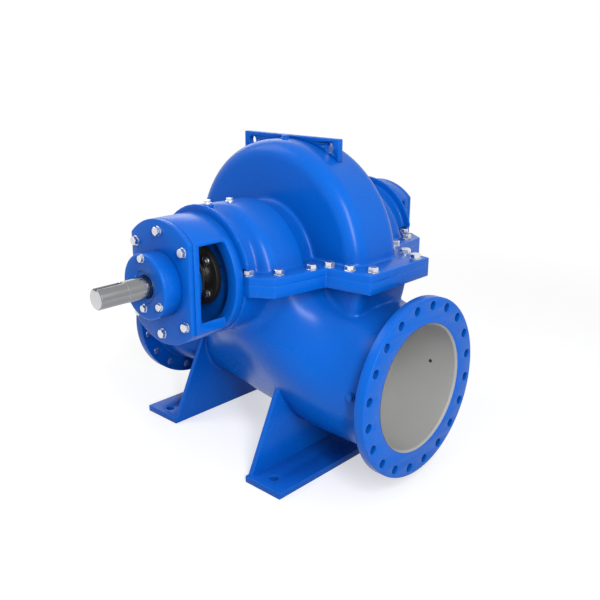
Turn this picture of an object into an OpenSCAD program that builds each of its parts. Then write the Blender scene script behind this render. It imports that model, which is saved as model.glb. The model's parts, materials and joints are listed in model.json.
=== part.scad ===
// Horizontal split case pump with side suction and side discharge, in millimetres.
// x runs along the shaft with the drive end at minus x, suction opens towards minus y, the floor is z = 0.

/* [Heights] */
// shaft axis above the floor
axis_h = 850; // [835:1:870]
// suction and discharge centreline above the floor
pipe_h = 420; // [405:1:430]

/* [Suction branch] */
// shaft axis to the suction flange face
suc_reach = 674; // [664:1:700]
// suction flange outside diameter
suc_od = 715; // [705:1:740]
// suction flange thickness
suc_t = 42; // [36:1:48]
// suction bore
suc_bore = 500; // [480:1:510]
// suction bolt circle to the flange rim
suc_rim = 32.5; // [30:0.5:36]
// suction bolt hole diameter
suc_hole_d = 34; // [28:1:37]
// number of suction bolt holes
suc_holes = 20; // [16:4:20]
// outside diameter of the suction neck
suc_neck_d = 580; // [570:1:590]
// length of the straight suction bore
suc_bore_len = 180; // [150:1:190]
// shaft axis to the inner end of the straight neck
suc_neck_in = 296; // [286:1:306]
// shaft axis to the inner end of the suction waterway
suc_way_in = 316; // [306:1:330]
// radius of the waterway at that end
suc_way_r = 222; // [210:1:232]

/* [Discharge branch] */
// shaft axis to the discharge flange face
dis_reach = 728; // [720:1:750]
// discharge flange outside diameter
dis_od = 620; // [610:1:640]
// discharge flange thickness
dis_t = 44; // [38:1:50]
// discharge bore
dis_bore = 400; // [380:1:410]
// discharge bolt circle to the flange rim
dis_rim = 35; // [32:0.5:38]
// discharge bolt hole diameter
dis_hole_d = 36; // [30:1:39]
// number of discharge bolt holes
dis_holes = 16; // [12:4:16]
// outside diameter of the discharge neck
dis_neck_d = 456; // [444:1:470]
// length of the straight discharge bore
dis_bore_len = 120; // [100:1:130]
// length of the straight discharge neck
dis_neck_len = 80; // [70:1:90]
// shaft axis to the throat of the volute
throat_y = 440; // [430:1:450]
// half width of the throat
throat_r = 93; // [88:1:98]
// thickness of the throat section
throat_t = 30; // [20:1:40]
// lower round of the throat below the pipe centreline
throat_drop = 132; // [124:1:140]
// upper round of the throat above the pipe centreline
throat_rise = 140; // [130:1:150]
// radius of the discharge waterway at the throat
throat_way_r = 70; // [60:1:76]

/* [Split flange] */
// thickness of the upper half of the split flange
split_up = 30; // [26:1:36]
// thickness of the lower half of the split flange
split_low = 44; // [40:1:52]
// half length of the split flange, where the bracket seats are
seat_x = 498; // [494:1:502]
// half width of the split flange at its ends
split_end_y = 256; // [252:1:262]
// half length at the shoulders
split_sh_x = 447; // [440:1:454]
// half width at the shoulders
split_sh_y = 335; // [330:1:342]
// half length at the inner corners
split_in_x = 214; // [210:1:220]
// half width at the inner corners
split_in_y = 371; // [366:1:378]
// half length of the noses over the volute
split_nose_x = 185; // [180:1:190]
// half width to the ends of the noses
split_nose_y = 557; // [552:1:564]
// end bolts from the middle of the pump
end_bolt_x = 474; // [470:1:478]
// end bolts from the shaft axis
end_bolt_y = 230; // [226:1:236]
// diameter of the pockets round the end bolts
pocket_d = 58; // [54:1:62]

/* [Volute] */
// outside radius of the upper volute
vol_r = 463; // [455:1:470]
// half width of the upper volute
vol_w = 138; // [130:1:144]
// rounding of the upper volute rim
vol_round = 68; // [60:1:74]
// volute centre from the shaft axis towards the discharge
vol_shift = 4; // [0:1:6]
// outside radius of the lower volute
vol_low_r = 498; // [490:1:502]
// half width of the lower volute
vol_low_w = 155; // [150:1:160]
// rounding of the lower volute rim
vol_low_round = 22; // [16:1:30]

/* [Suction domes] */
// radius of the domes beside the volute
dome_r = 284; // [276:1:288]
// dome centre below the shaft axis
dome_drop = 34; // [28:1:40]
// half length over both domes
dome_end = 425; // [420:1:430]
// rounding of the outer dome edges
dome_round = 60; // [50:1:66]
// concave fillet between dome and volute
dome_flare = 98; // [88:1:104]
// depth of the valley between dome and volute
valley_in = 22; // [18:1:26]
// rounding of the lower dome edges
low_round = 110; // [100:1:120]
// rounding of the belly between the domes and the branches
belly_round = 212; // [200:1:220]
// top of the side passages below the shaft axis
pass_drop = 154; // [146:1:162]

/* [Stuffing boxes] */
// radius of the necks that carry the bearing brackets
neck_r = 234; // [230:1:238]
// radius of the hoods on the upper half of the necks
hood_r = 257; // [252:1:260]
// thickness of the hoods along the shaft
hood_t = 14; // [12:1:18]
// lower end of the hoods above the shaft axis
hood_low = 85; // [80:1:90]
// radius of the stuffing box nose
box_r = 146; // [138:1:150]
// height of the stuffing box nose on the bracket seat
box_h = 7; // [5:1:10]
// radius of the shaft tunnel
tunnel_r = 64; // [62:1:70]

/* [Feet] */
// foot plate thickness
foot_t = 28; // [24:1:34]
// half length of the suction foot
suc_foot_x = 450; // [442:1:460]
// inner edge of the suction foot from the shaft axis
suc_foot_in = 161; // [150:1:170]
// width of the suction foot
suc_foot_w = 194; // [185:1:205]
// half spacing of the suction foot holes
suc_foot_hole = 384; // [370:1:390]
// half length of the suction web at its foot
suc_web_x = 443; // [436:1:446]
// half length of the suction web at its top
suc_web_top = 252; // [244:1:260]
// top of the suction web below the pipe centreline
suc_web_drop = 14; // [8:1:20]
// half length of the discharge foot
dis_foot_x = 325; // [323:1:332]
// inner edge of the discharge foot from the shaft axis
dis_foot_in = 439; // [432:1:446]
// width of the discharge foot
dis_foot_w = 207; // [196:1:215]
// half spacing of the discharge foot holes
dis_foot_hole = 276; // [266:1:280]
// half length of the discharge web at its foot
dis_web_x = 322; // [316:1:327]
// half length of the discharge web at its top
dis_web_top = 116; // [108:1:124]
// top of the discharge web above the pipe centreline
dis_web_rise = 10; // [4:1:16]
// foot hole diameter
foot_hole_d = 35; // [30:1:39]
// thickness of the foot webs
web_t = 22; // [18:1:26]

/* [Lifting plate] */
// plate thickness
lift_t = 25; // [20:1:30]
// half length of the plate
lift_y = 260; // [254:1:268]
// middle of the plate from the shaft axis towards the discharge
lift_shift = 10; // [6:1:14]
// top of the plate above the shaft axis
lift_z = 475; // [472:1:485]
// half spacing of the lifting holes
lift_hole_y = 214; // [208:1:220]
// lifting holes below the plate top
lift_hole_z = 36; // [34:1:40]
// lifting hole diameter
lift_hole_d = 38; // [30:1:42]

/* [Bearing brackets] */
// radius of the arch, the ring and the housing flange
arch_r = 232; // [228:1:234]
// half width over the flat sides
arch_w = 164; // [160:1:168]
// inner radius of the arch
arch_in = 200; // [194:1:206]
// inner radius of the seating ring
ring_in = 184; // [178:1:188]
// thickness of the drive end seating ring
drive_ring_t = 37; // [30:1:44]
// thickness of the rear seating ring
rear_ring_t = 12; // [10:1:16]
// drive bracket from its seat to its wall
drive_reach = 144; // [138:1:148]
// rear bracket from its seat to its wall
rear_reach = 66; // [62:1:70]
// end wall thickness
wall_t = 26; // [22:1:30]
// window top above the shaft axis
win_top = 152; // [146:1:156]
// window bottom below the shaft axis
win_low = 128; // [120:1:134]

/* [Bearing housings] */
// thickness of the housing flange
hous_t = 22; // [18:1:26]
// radius of the housing barrel
hous_r = 124; // [118:1:130]
// reach of the drive end barrel inside its end wall
drive_barrel = 42; // [36:1:46]
// reach of the rear barrel inside its end wall
rear_barrel = 2; // [1:1:4]
// radius of the bearing covers
cover_r = 121; // [118:1:124]
// rounding of the cover rims
cover_round = 10; // [6:1:14]
// depth of the drive end cover
drive_cover_t = 75; // [70:1:80]
// depth of the rear cover
rear_cover_t = 34; // [30:1:40]
// end wall of the rear cover
rear_cover_end = 14; // [10:1:18]
// radius of the recess around the shaft
recess_r = 60; // [56:1:64]
// depth of that recess
recess_d = 8; // [6:1:10]
// end wall of the drive cover behind the recess
recess_wall = 10; // [8:1:14]
// radius of the inner bearing covers
inner_r = 104; // [98:1:110]
// thickness of the inner bearing covers
inner_t = 13; // [11:1:15]

/* [Seals] */
// radius of the gland plates
gland_r = 118; // [114:1:124]
// thickness of the gland plates
gland_t = 22; // [18:1:24]

/* [Rotor] */
// radius of the shaft end
shaft_r = 38; // [36:1:39]
// shaft end outside the drive bearing cover
shaft_out = 194; // [185:1:205]
// radius at the bearings
journal_r = 45; // [43:1:47]
// radius between the bearings
core_r = 50; // [49:1:52]
// radius of the shaft sleeves
sleeve_r = 57; // [55:1:58]
// radius of the slinger discs
slinger_r = 82; // [78:1:90]
// thickness of the slinger discs
slinger_t = 9; // [8:1:12]
// keyway width
key_w = 22; // [20:1:24]
// keyway depth
key_d = 9; // [8:1:10]
// keyway length
key_l = 110; // [100:1:130]
// running clearance of the journals
run_gap = 0.05; // [0.03:0.01:0.08]
// free gap around the turning rotor
free_gap = 2; // [2:0.5:3]

/* [Plugs] */
// plug collar diameter
plug_d = 34; // [30:1:38]
// plug head across its corners
plug_hex = 28; // [24:1:29]
// height of a plug above its seat
plug_h = 14; // [12:1:18]
// height of a plug collar above its seat
plug_collar = 4; // [3:1:6]
// depth of the plug seats
plug_in = 4; // [3:1:6]
// vent plug from the middle of the pump
vent_x = 43; // [38:1:50]
// plugs beside the hoods from the middle of the pump
flush_x = 462; // [458:1:466]
// diameter of the pads under these plugs
pad_d = 48; // [44:1:52]
// plugs on the domes from the middle of the pump
dome_plug_x = 350; // [344:1:356]
// suction plug behind the suction flange
suc_plug_y = 67; // [60:1:74]
// angle of the suction plug from the top of the neck
suc_plug_a = 85; // [75:1:90]

/* [Hidden] */
$fn = 96;
blue = [0.03, 0.22, 0.72];
dark = [0.05, 0.05, 0.06];
steel = [0.75, 0.76, 0.78];
eps = 1;
wide = 1400;
// step between a straight bore and the cast waterway behind it
way_step = 3;
// flare of the domes sunk into the volute side
flare_in = 6;
// inner face of the gland plates
gland_x = seat_x + box_h;
// inner faces of the bracket walls
drive_wall_x = seat_x + drive_reach;
rear_wall_x = seat_x + rear_reach;
// inner ends of the housing barrels
drive_in = drive_wall_x - drive_barrel;
rear_in = rear_wall_x - rear_barrel;
// outer faces of the housing flanges
drive_face = drive_wall_x + wall_t + hous_t;
rear_face = rear_wall_x + wall_t + hous_t;
// outer faces of the bearing covers
drive_cover_x = drive_face + drive_cover_t;
rear_cover_x = rear_face + rear_cover_t;
// shaft end from the middle of the pump
shaft_x = drive_cover_x + shaft_out;
// coupling seat past the keyway, and the shoulder behind it
seat_past = 2;
shoulder = 1;
// shaft core ends inside the inner covers
core_end = 10;
// sleeves start this far inside the bracket seats and stop short of the inner covers
sleeve_in = 70;
sleeve_gap = 5;
// shaft collar in the drive cover: height, reach outside and inside, and its bevel
collar = 2;
collar_out = 20;
collar_in = 22;
bevel = 3;
// shaft tail behind the rear cover's end wall
tail_gap = 8;

// points on an arc from angle a to angle b
function arc(cx, cy, r, a, b, n) =
  [for (i = [0:n]) [cx + r * cos(a + (b - a) * i / n), cy + r * sin(a + (b - a) * i / n)]];

// one quarter of the split flange outline, from its end to its nose
function quarter(sx, sy) = [[sx * seat_x, sy * split_end_y], [sx * split_sh_x, sy * split_sh_y],
  [sx * split_in_x, sy * split_in_y], [sx * split_nose_x, sy * split_nose_y]];

function flip(p) = [for (i = [len(p) - 1:-1:0]) p[i]];

// half profile of a drum with rounded ends, as radius and x
function drum_profile(r, w, f, n) =
  concat([[0, -w]], arc(r - f, f - w, f, -90, 0, n), arc(r - f, w - f, f, 0, 90, n), [[0, w]]);

// a cylinder on the shaft axis between two x positions
module drum(r, x0, x1) {
  translate([x0, 0, axis_h]) rotate([0, 90, 0]) cylinder(r = r, h = x1 - x0);
}

// the same cylinder at both ends of the pump
module end_drums(r, x0, x1) {
  drum(r, x0, x1);
  drum(r, -x1, -x0);
}

// a cylinder along y at the pipe centreline
module pipe(r, y0, y1) {
  translate([0, y0, pipe_h]) rotate([-90, 0, 0]) cylinder(r = r, h = y1 - y0);
}

// a solid of revolution on the shaft axis from points given as radius and x
module turned(points, drop = 0) {
  translate([0, 0, axis_h - drop]) rotate([0, 90, 0]) rotate_extrude() polygon(points);
}

module split_outline() {
  polygon(concat(quarter(1, -1), flip(quarter(-1, -1)), quarter(-1, 1), flip(quarter(1, 1))));
}

// rounded rim of the volute, revolved about its own centre
module volute(r, w, f) {
  translate([0, vol_shift, 0]) turned(drum_profile(r, w, f, 8));
}

// both domes in one revolve with rounded ends, and a flare from the valley up to the volute
module domes() {
  flare_x = vol_w - flare_in + dome_flare;
  valley_r = dome_r - valley_in;
  half = concat([[0, -dome_end]], arc(dome_r - dome_round, dome_round - dome_end, dome_round, -90, 0, 8),
    [[dome_r, -flare_x]], arc(valley_r + dome_flare, -flare_x, dome_flare, 180, 95, 8));
  turned(concat(half, [for (p = flip(half)) [p[0], -p[1]]]), dome_drop);
}

// everything above a height
module above(z) {
  translate([-wide, -wide, z]) cube([2 * wide, 2 * wide, wide]);
}

// everything below a height
module below(z) {
  translate([-wide, -wide, z - wide]) cube([2 * wide, 2 * wide, wide]);
}

module tunnel() {
  drum(tunnel_r, -gland_x - eps, gland_x + eps);
}

// necks for the brackets and the stuffing box noses on them
module noses() {
  drum(neck_r, -seat_x, seat_x);
  drum(box_r, -gland_x, gland_x);
}

// raised rims on the upper half of the necks, with pads for the flushing plugs
module hoods() {
  intersection() {
    end_drums(hood_r, seat_x - hood_t, seat_x);
    above(axis_h + hood_low);
  }
  for (s = [-1, 1])
    translate([s * flush_x, 0, axis_h]) cylinder(d = pad_d, h = hood_r, $fn = 48);
}

// pockets in the necks for the heads of the end bolts
module bolt_pockets() {
  for (sx = [-1, 1], sy = [-1, 1])
    translate([sx * end_bolt_x, sy * end_bolt_y, axis_h + split_up])
      cylinder(d = pocket_d, h = hood_low - split_up, $fn = 48);
}

module upper_casing() {
  color(blue) difference() {
    union() {
      translate([0, 0, axis_h]) linear_extrude(split_up) split_outline();
      intersection() {
        union() {
          volute(vol_r, vol_w, vol_round);
          domes();
          noses();
        }
        above(axis_h);
      }
      hoods();
    }
    tunnel();
    bolt_pockets();
    plug_seats();
  }
}

// one foot: a plate on the floor and a web along its inner edge
module foot(x, y_in, w, s, web_x, top_x, top_z) {
  translate([-x, s > 0 ? y_in : -y_in - w, 0]) cube([2 * x, w, foot_t]);
  translate([0, s > 0 ? y_in + web_t : -y_in, 0]) rotate([90, 0, 0]) linear_extrude(web_t)
    polygon([[-web_x, foot_t - eps], [-top_x, top_z], [top_x, top_z], [web_x, foot_t - eps]]);
}

// one round of the volute throat
module throat_round(rise) {
  translate([0, throat_y - throat_t / 2, pipe_h + rise]) rotate([-90, 0, 0])
    cylinder(r = throat_r, h = throat_t, $fn = 48);
}

// belly that spreads from the suction neck to both domes and runs back to the throat
module belly() {
  hull() {
    translate([0, suc_t - suc_reach - eps, pipe_h]) rotate([-90, 0, 0])
      cylinder(r = suc_neck_d / 2, h = suc_reach - suc_t - suc_neck_in + eps, $fn = 72);
    intersection() {
      turned(drum_profile(dome_r, dome_end, belly_round, 8), dome_drop, $fn = 64);
      below(axis_h - pass_drop);
    }
    throat_round(-throat_drop);
  }
}

// discharge branch from the tall throat to the round neck
module discharge_body() {
  hull() {
    translate([0, dis_reach - dis_t - dis_neck_len, pipe_h]) rotate([-90, 0, 0])
      cylinder(r = dis_neck_d / 2, h = dis_neck_len + eps, $fn = 72);
    throat_round(-throat_drop);
    throat_round(throat_rise);
  }
}

// waterway seen through the suction flange, divided by the volute wall
module suction_way() {
  pipe(suc_bore / 2, -suc_reach - eps, -suc_reach + suc_bore_len);
  difference() {
    translate([0, -suc_reach + suc_bore_len - eps, pipe_h]) rotate([-90, 0, 0])
      cylinder(r1 = suc_bore / 2 - way_step, r2 = suc_way_r, h = suc_reach - suc_bore_len - suc_way_in + eps);
    volute(vol_low_r, vol_low_w, vol_low_round);
  }
}

module discharge_way() {
  pipe(dis_bore / 2, dis_reach - dis_bore_len, dis_reach + eps);
  translate([0, dis_reach - dis_bore_len + eps, pipe_h]) rotate([90, 0, 0])
    cylinder(r1 = dis_bore / 2 - way_step, r2 = throat_way_r, h = dis_reach - dis_bore_len - throat_y + eps);
}

module flange_holes(count, pcd, d, y0, y1) {
  for (i = [0:count - 1]) {
    a = (i + 0.5) * 360 / count;
    translate([pcd / 2 * cos(a), y0, pipe_h + pcd / 2 * sin(a)]) rotate([-90, 0, 0])
      cylinder(d = d, h = y1 - y0, $fn = 24);
  }
}

module foot_hole(x, y) {
  translate([x, y, -eps]) cylinder(d = foot_hole_d, h = foot_t + 2 * eps, $fn = 24);
}

module foot_holes() {
  for (s = [-1, 1]) {
    foot_hole(s * suc_foot_hole, -suc_foot_in - suc_foot_w / 2);
    foot_hole(s * dis_foot_hole, dis_foot_in + dis_foot_w / 2);
  }
}

module lower_casing() {
  color(blue) difference() {
    union() {
      translate([0, 0, axis_h - split_low]) linear_extrude(split_low) split_outline();
      intersection() {
        union() {
          volute(vol_low_r, vol_low_w, vol_low_round);
          turned(drum_profile(dome_r, dome_end, low_round, 8), dome_drop);
          noses();
        }
        below(axis_h);
      }
      belly();
      pipe(suc_od / 2, -suc_reach, -suc_reach + suc_t);
      discharge_body();
      pipe(dis_od / 2, dis_reach - dis_t, dis_reach);
      foot(suc_foot_x, suc_foot_in, suc_foot_w, -1, suc_web_x, suc_web_top, pipe_h - suc_web_drop);
      foot(dis_foot_x, dis_foot_in, dis_foot_w, 1, dis_web_x, dis_web_top, pipe_h + dis_web_rise);
    }
    suction_way();
    discharge_way();
    flange_holes(suc_holes, suc_od - 2 * suc_rim, suc_hole_d, -suc_reach - eps, -suc_reach + suc_t + eps);
    flange_holes(dis_holes, dis_od - 2 * dis_rim, dis_hole_d, dis_reach - dis_t - eps, dis_reach + eps);
    foot_holes();
    tunnel();
    plug_seats();
  }
}

// plate on the crown of the volute with an eye at each end
module lifting_plate() {
  color(blue) difference() {
    translate([-lift_t / 2, lift_shift - lift_y, axis_h]) cube([lift_t, 2 * lift_y, lift_z]);
    translate([0, vol_shift, 0]) drum(vol_r, -lift_t, lift_t);
    for (s = [-1, 1])
      translate([-lift_t, lift_shift + s * lift_hole_y, axis_h + lift_z - lift_hole_z]) rotate([0, 90, 0])
        cylinder(d = lift_hole_d, h = 2 * lift_t, $fn = 32);
  }
}

// cylinder with two flat sides, as the brackets and housing flanges have
module flat_drum(r, x0, x1) {
  intersection() {
    drum(r, x0, x1);
    translate([x0 - eps, -arch_w, axis_h - wide / 2]) cube([x1 - x0 + 2 * eps, 2 * arch_w, wide]);
  }
}

// the parts of one end are drawn at the rear, and the drive end mirrors them
module bracket(ring_t, wall_x) {
  ring_x = seat_x + ring_t;
  color(blue) difference() {
    union() {
      drum(arch_r, seat_x, ring_x);
      flat_drum(arch_r, ring_x - eps, wall_x + wall_t);
    }
    drum(ring_in, seat_x - eps, ring_x + eps);
    drum(arch_in, ring_x, wall_x);
    drum(hous_r, wall_x - eps, wall_x + wall_t + eps);
    translate([ring_x, -wide / 2, axis_h - win_low]) cube([wall_x - ring_x, wide, win_low + win_top]);
  }
}

module housing(in_x, end_x) {
  color(blue) difference() {
    union() {
      drum(hous_r, in_x, end_x + eps);
      flat_drum(arch_r, end_x, end_x + hous_t);
    }
    drum(journal_r + run_gap, in_x - eps, end_x + hous_t + eps);
  }
}

module inner_cover(in_x) {
  color(blue) difference() {
    drum(inner_r, in_x - inner_t, in_x);
    drum(core_r + free_gap, in_x - inner_t - eps, in_x + eps);
  }
}

module gland() {
  color(dark) difference() {
    drum(gland_r, gland_x, gland_x + gland_t);
    drum(sleeve_r + free_gap, gland_x - eps, gland_x + gland_t + eps);
  }
}

module sleeve(in_x) {
  color(steel) difference() {
    drum(sleeve_r, seat_x - sleeve_in, in_x - inner_t - sleeve_gap);
    drum(core_r, seat_x - sleeve_in - eps, in_x - inner_t - sleeve_gap + eps);
  }
}

// slinger discs turn halfway between the gland and the inner cover
module slinger(in_x) {
  mid = (in_x - inner_t + gland_x + gland_t) / 2;
  color(dark) difference() {
    drum(slinger_r, mid - slinger_t / 2, mid + slinger_t / 2);
    drum(sleeve_r, mid - slinger_t, mid + slinger_t);
  }
}

// bearing cover with a rounded rim
module cover_body(x0, x1) {
  turned(concat([[0, x0], [cover_r, x0]],
    arc(cover_r - cover_round, x1 - cover_round, cover_round, 0, 90, 5), [[0, x1]]));
}

module drive_cover() {
  color(blue) mirror([1, 0, 0]) difference() {
    cover_body(drive_face, drive_cover_x);
    drum(journal_r + free_gap, drive_face - eps, drive_cover_x - recess_d - recess_wall);
    drum(shaft_r + 2 * free_gap, drive_face, drive_cover_x + eps);
    drum(recess_r, drive_cover_x - recess_d, drive_cover_x + eps);
  }
}

module rear_cover() {
  color(blue) difference() {
    cover_body(rear_face, rear_cover_x);
    drum(journal_r + free_gap, rear_face - eps, rear_cover_x - rear_cover_end);
  }
}

module drive_bracket() { mirror([1, 0, 0]) bracket(drive_ring_t, drive_wall_x); }
module rear_bracket() { bracket(rear_ring_t, rear_wall_x); }
module drive_housing() { mirror([1, 0, 0]) housing(drive_in, drive_wall_x + wall_t); }
module rear_housing() { housing(rear_in, rear_wall_x + wall_t); }
module drive_inner_cover() { mirror([1, 0, 0]) inner_cover(drive_in); }
module rear_inner_cover() { inner_cover(rear_in); }
module drive_gland() { mirror([1, 0, 0]) gland(); }
module rear_gland() { gland(); }
module drive_sleeve() { mirror([1, 0, 0]) sleeve(drive_in); }
module rear_sleeve() { sleeve(rear_in); }
module drive_slinger() { mirror([1, 0, 0]) slinger(drive_in); }
module rear_slinger() { slinger(rear_in); }

// places of the plugs, each with its seat at z = 0
module at_vent() { translate([-vent_x, vol_shift, axis_h + vol_r]) children(); }
module at_flush(s) { translate([s * flush_x, 0, axis_h + hood_r]) children(); }
module at_dome(s) { translate([s * dome_plug_x, 0, axis_h - dome_drop + dome_r]) children(); }

module at_suction() {
  translate([0, suc_t + suc_plug_y - suc_reach, pipe_h]) rotate([0, -suc_plug_a, 0])
    translate([0, 0, suc_neck_d / 2]) children();
}

// screwed plug with a collar and a hexagon head
module plug(shade = steel) {
  color(shade) union() {
    translate([0, 0, -plug_in]) cylinder(d = plug_d, h = plug_in + plug_collar, $fn = 32);
    cylinder(d = plug_hex, h = plug_h, $fn = 6);
  }
}

module plug_seat() {
  translate([0, 0, -plug_in]) cylinder(d = plug_d, h = plug_in + plug_h, $fn = 32);
}

module plug_seats() {
  at_vent() plug_seat();
  at_suction() plug_seat();
  for (s = [-1, 1]) {
    at_flush(s) plug_seat();
    at_dome(s) plug_seat();
  }
}

module vent_plug() { at_vent() plug(); }
module suction_plug() { at_suction() plug(blue); }
module drive_flush_plug() { at_flush(-1) plug(); }
module drive_dome_plug() { at_dome(-1) plug(); }
module rear_flush_plug() { at_flush(1) plug(); }
module rear_dome_plug() { at_dome(1) plug(); }

module shaft() {
  collar_x = drive_cover_x - collar_in;
  core_d = -drive_in + core_end;
  core_e = rear_in - core_end;
  tail = rear_cover_x - rear_cover_end - tail_gap;
  seat_end = key_l + seat_past - shaft_x;
  color(steel) difference() {
    turned([[0, -shaft_x], [shaft_r - bevel, -shaft_x], [shaft_r, bevel - shaft_x],
      [shaft_r, seat_end], [shaft_r + shoulder, seat_end],
      [shaft_r + shoulder, -drive_cover_x - collar_out - collar], [shaft_r + collar, -drive_cover_x - collar_out],
      [shaft_r + collar, -collar_x], [journal_r, -collar_x + bevel], [journal_r, core_d], [core_r, core_d],
      [core_r, core_e], [journal_r, core_e], [journal_r, tail], [0, tail]]);
    translate([-shaft_x - eps, -key_w / 2, axis_h + shaft_r - key_d])
      cube([key_l - key_w / 2 + eps, key_w, 2 * key_d]);
    translate([key_l - key_w / 2 - shaft_x, 0, axis_h + shaft_r - key_d]) cylinder(d = key_w, h = 2 * key_d, $fn = 32);
  }
}

// the origin is on the floor under the middle of the overall size
module place() {
  translate([(shaft_x - rear_cover_x) / 2, (suc_reach - dis_reach) / 2, 0]) children();
}

place() lower_casing();
place() upper_casing();
place() lifting_plate();
place() vent_plug();
place() suction_plug();
place() drive_flush_plug();
place() drive_dome_plug();
place() rear_flush_plug();
place() rear_dome_plug();
place() drive_bracket();
place() drive_housing();
place() drive_cover();
place() drive_inner_cover();
place() drive_gland();
place() rear_bracket();
place() rear_housing();
place() rear_cover();
place() rear_inner_cover();
place() rear_gland();
place() shaft();
place() drive_sleeve();
place() rear_sleeve();
place() drive_slinger();
place() rear_slinger();
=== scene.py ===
import json
import math

import bmesh
import bpy
import numpy as np
from mathutils import Matrix, Vector
from mathutils.bvhtree import BVHTree


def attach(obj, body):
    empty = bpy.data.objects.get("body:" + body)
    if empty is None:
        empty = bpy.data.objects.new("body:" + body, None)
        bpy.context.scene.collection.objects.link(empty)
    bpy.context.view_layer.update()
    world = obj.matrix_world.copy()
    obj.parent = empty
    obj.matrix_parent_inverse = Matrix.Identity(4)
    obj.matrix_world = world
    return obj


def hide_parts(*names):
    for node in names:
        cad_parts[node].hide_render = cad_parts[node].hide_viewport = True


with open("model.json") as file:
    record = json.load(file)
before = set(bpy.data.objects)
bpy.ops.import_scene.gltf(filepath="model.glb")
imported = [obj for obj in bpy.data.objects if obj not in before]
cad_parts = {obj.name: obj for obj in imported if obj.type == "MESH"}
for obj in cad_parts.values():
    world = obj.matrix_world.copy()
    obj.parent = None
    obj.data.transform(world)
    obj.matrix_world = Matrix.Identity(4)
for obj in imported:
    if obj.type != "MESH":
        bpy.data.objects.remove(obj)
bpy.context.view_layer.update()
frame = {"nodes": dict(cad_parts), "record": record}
nodes = frame["nodes"]
scene = bpy.context.scene

# pump sizes in millimetres, measured from the middle of the pump on the floor
pump = {
    "midX": 156.5, "midY": -27.0, "axisZ": 850.0, "pipeZ": 420.0,
    "sucFace": -674.0, "sucThick": 42.0, "sucRad": 357.5, "sucBore": 250.0, "sucPitch": 325.0,
    "sucHole": 17.0, "sucHoles": 20, "sucNeck": 290.0, "sucNeckIn": -296.0,
    "disFace": 728.0, "disThick": 44.0, "disRad": 310.0, "disBore": 200.0, "disPitch": 275.0,
    "disHole": 18.0, "disHoles": 16, "disNeck": 228.0, "disNeckIn": 604.0,
    "splitUp": 30.0, "splitLow": 44.0, "splitCorner": 5.0, "splitEase": 3.0, "splitJoint": 0.1, "seatX": 498.0,
    "throatY": 440.0, "throatR": 93.0, "throatLow": 288.0, "throatTop": 560.0, "boreChamfer": 6.5,
}
splitQuarter = [(498.0, 256.0), (447.0, 335.0), (214.0, 371.0), (185.0, 557.0)]  # split flange, one quarter
origin = Vector((pump["midX"], pump["midY"], 0.0)) / 1000.0


def splitOutline(inset=0.0):
    cut = [(x - inset, y - inset) for x, y in splitQuarter]
    ring = [(x, -y) for x, y in cut] + [(-x, -y) for x, y in reversed(cut)]
    return ring + [(-x, y) for x, y in cut] + [(x, y) for x, y in reversed(cut)]


# camera at the photograph's viewpoint
view = {"place": (-2.1039, -2.1654, 1.6259), "yaw": 42.858, "pitch": 17.822, "roll": 0.21,
        "lens": 45.48, "sensor": 36.0, "clipEnd": 100.0}


def makeCamera():
    yaw, pitch, roll = (math.radians(view[k]) for k in ("yaw", "pitch", "roll"))
    ahead = Vector((math.cos(yaw) * math.cos(pitch), math.sin(yaw) * math.cos(pitch), -math.sin(pitch)))
    right = Vector((math.sin(yaw), -math.cos(yaw), 0.0))
    up = right.cross(ahead)
    side = right * math.cos(roll) + up * math.sin(roll)
    top = up * math.cos(roll) - right * math.sin(roll)
    data = bpy.data.cameras.new("photoCamera")
    data.lens, data.sensor_width, data.clip_end = view["lens"], view["sensor"], view["clipEnd"]
    cam = bpy.data.objects.new("photoCamera", data)
    cam.matrix_world = Matrix((side, top, -ahead)).transposed().to_4x4()
    cam.location = view["place"]
    scene.collection.objects.link(cam)
    scene.camera = cam


makeCamera()
print("camera set")

# studio: pale floor that runs into white, soft lamps, even world
studio = {
    "floorHalf": 30.0, "floorTone": 0.60, "floorGlow": 0.53, "fadeFrom": 2.2, "fadeTo": 4.2,
    "worldLight": 0.45, "white": (1.0, 1.0, 1.0, 1.0),
    "lamps": [  # name, place, aim, width, height, watts
        ("keySoftbox", (-1.96, -3.1, 2.55), (0.0, -0.1, 0.8), 0.40, 2.5, 126.0),
        ("sideSoftbox", (1.6, -4.2, 3.4), (0.1, 0.0, 0.6), 2.2, 2.2, 10.0),
        ("backSoftbox", (2.2, 3.6, 3.2), (0.1, 0.0, 0.6), 2.4, 2.4, 30.0),
        ("topSoftbox", (-1.3, 2.5, 3.7), (0.0, 0.0, 1.0), 2.0, 2.0, 40.0),
    ],
}


def link(tree, a, b):
    tree.links.new(a, b)


def node(tree, kind, x=0, y=0, **values):
    made = tree.nodes.new(kind)
    made.location = (x, y)
    for key, value in values.items():
        setattr(made, key, value)
    return made


def backgroundRays(tree):
    path = node(tree, "ShaderNodeLightPath", -900, 300)
    both = node(tree, "ShaderNodeMath", -700, 300, operation="MAXIMUM")
    link(tree, path.outputs["Is Camera Ray"], both.inputs[0])
    link(tree, path.outputs["Is Glossy Ray"], both.inputs[1])
    seen = node(tree, "ShaderNodeMath", -520, 300, operation="MAXIMUM")
    link(tree, both.outputs[0], seen.inputs[0])
    link(tree, path.outputs["Is Transmission Ray"], seen.inputs[1])
    return seen.outputs[0]


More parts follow.
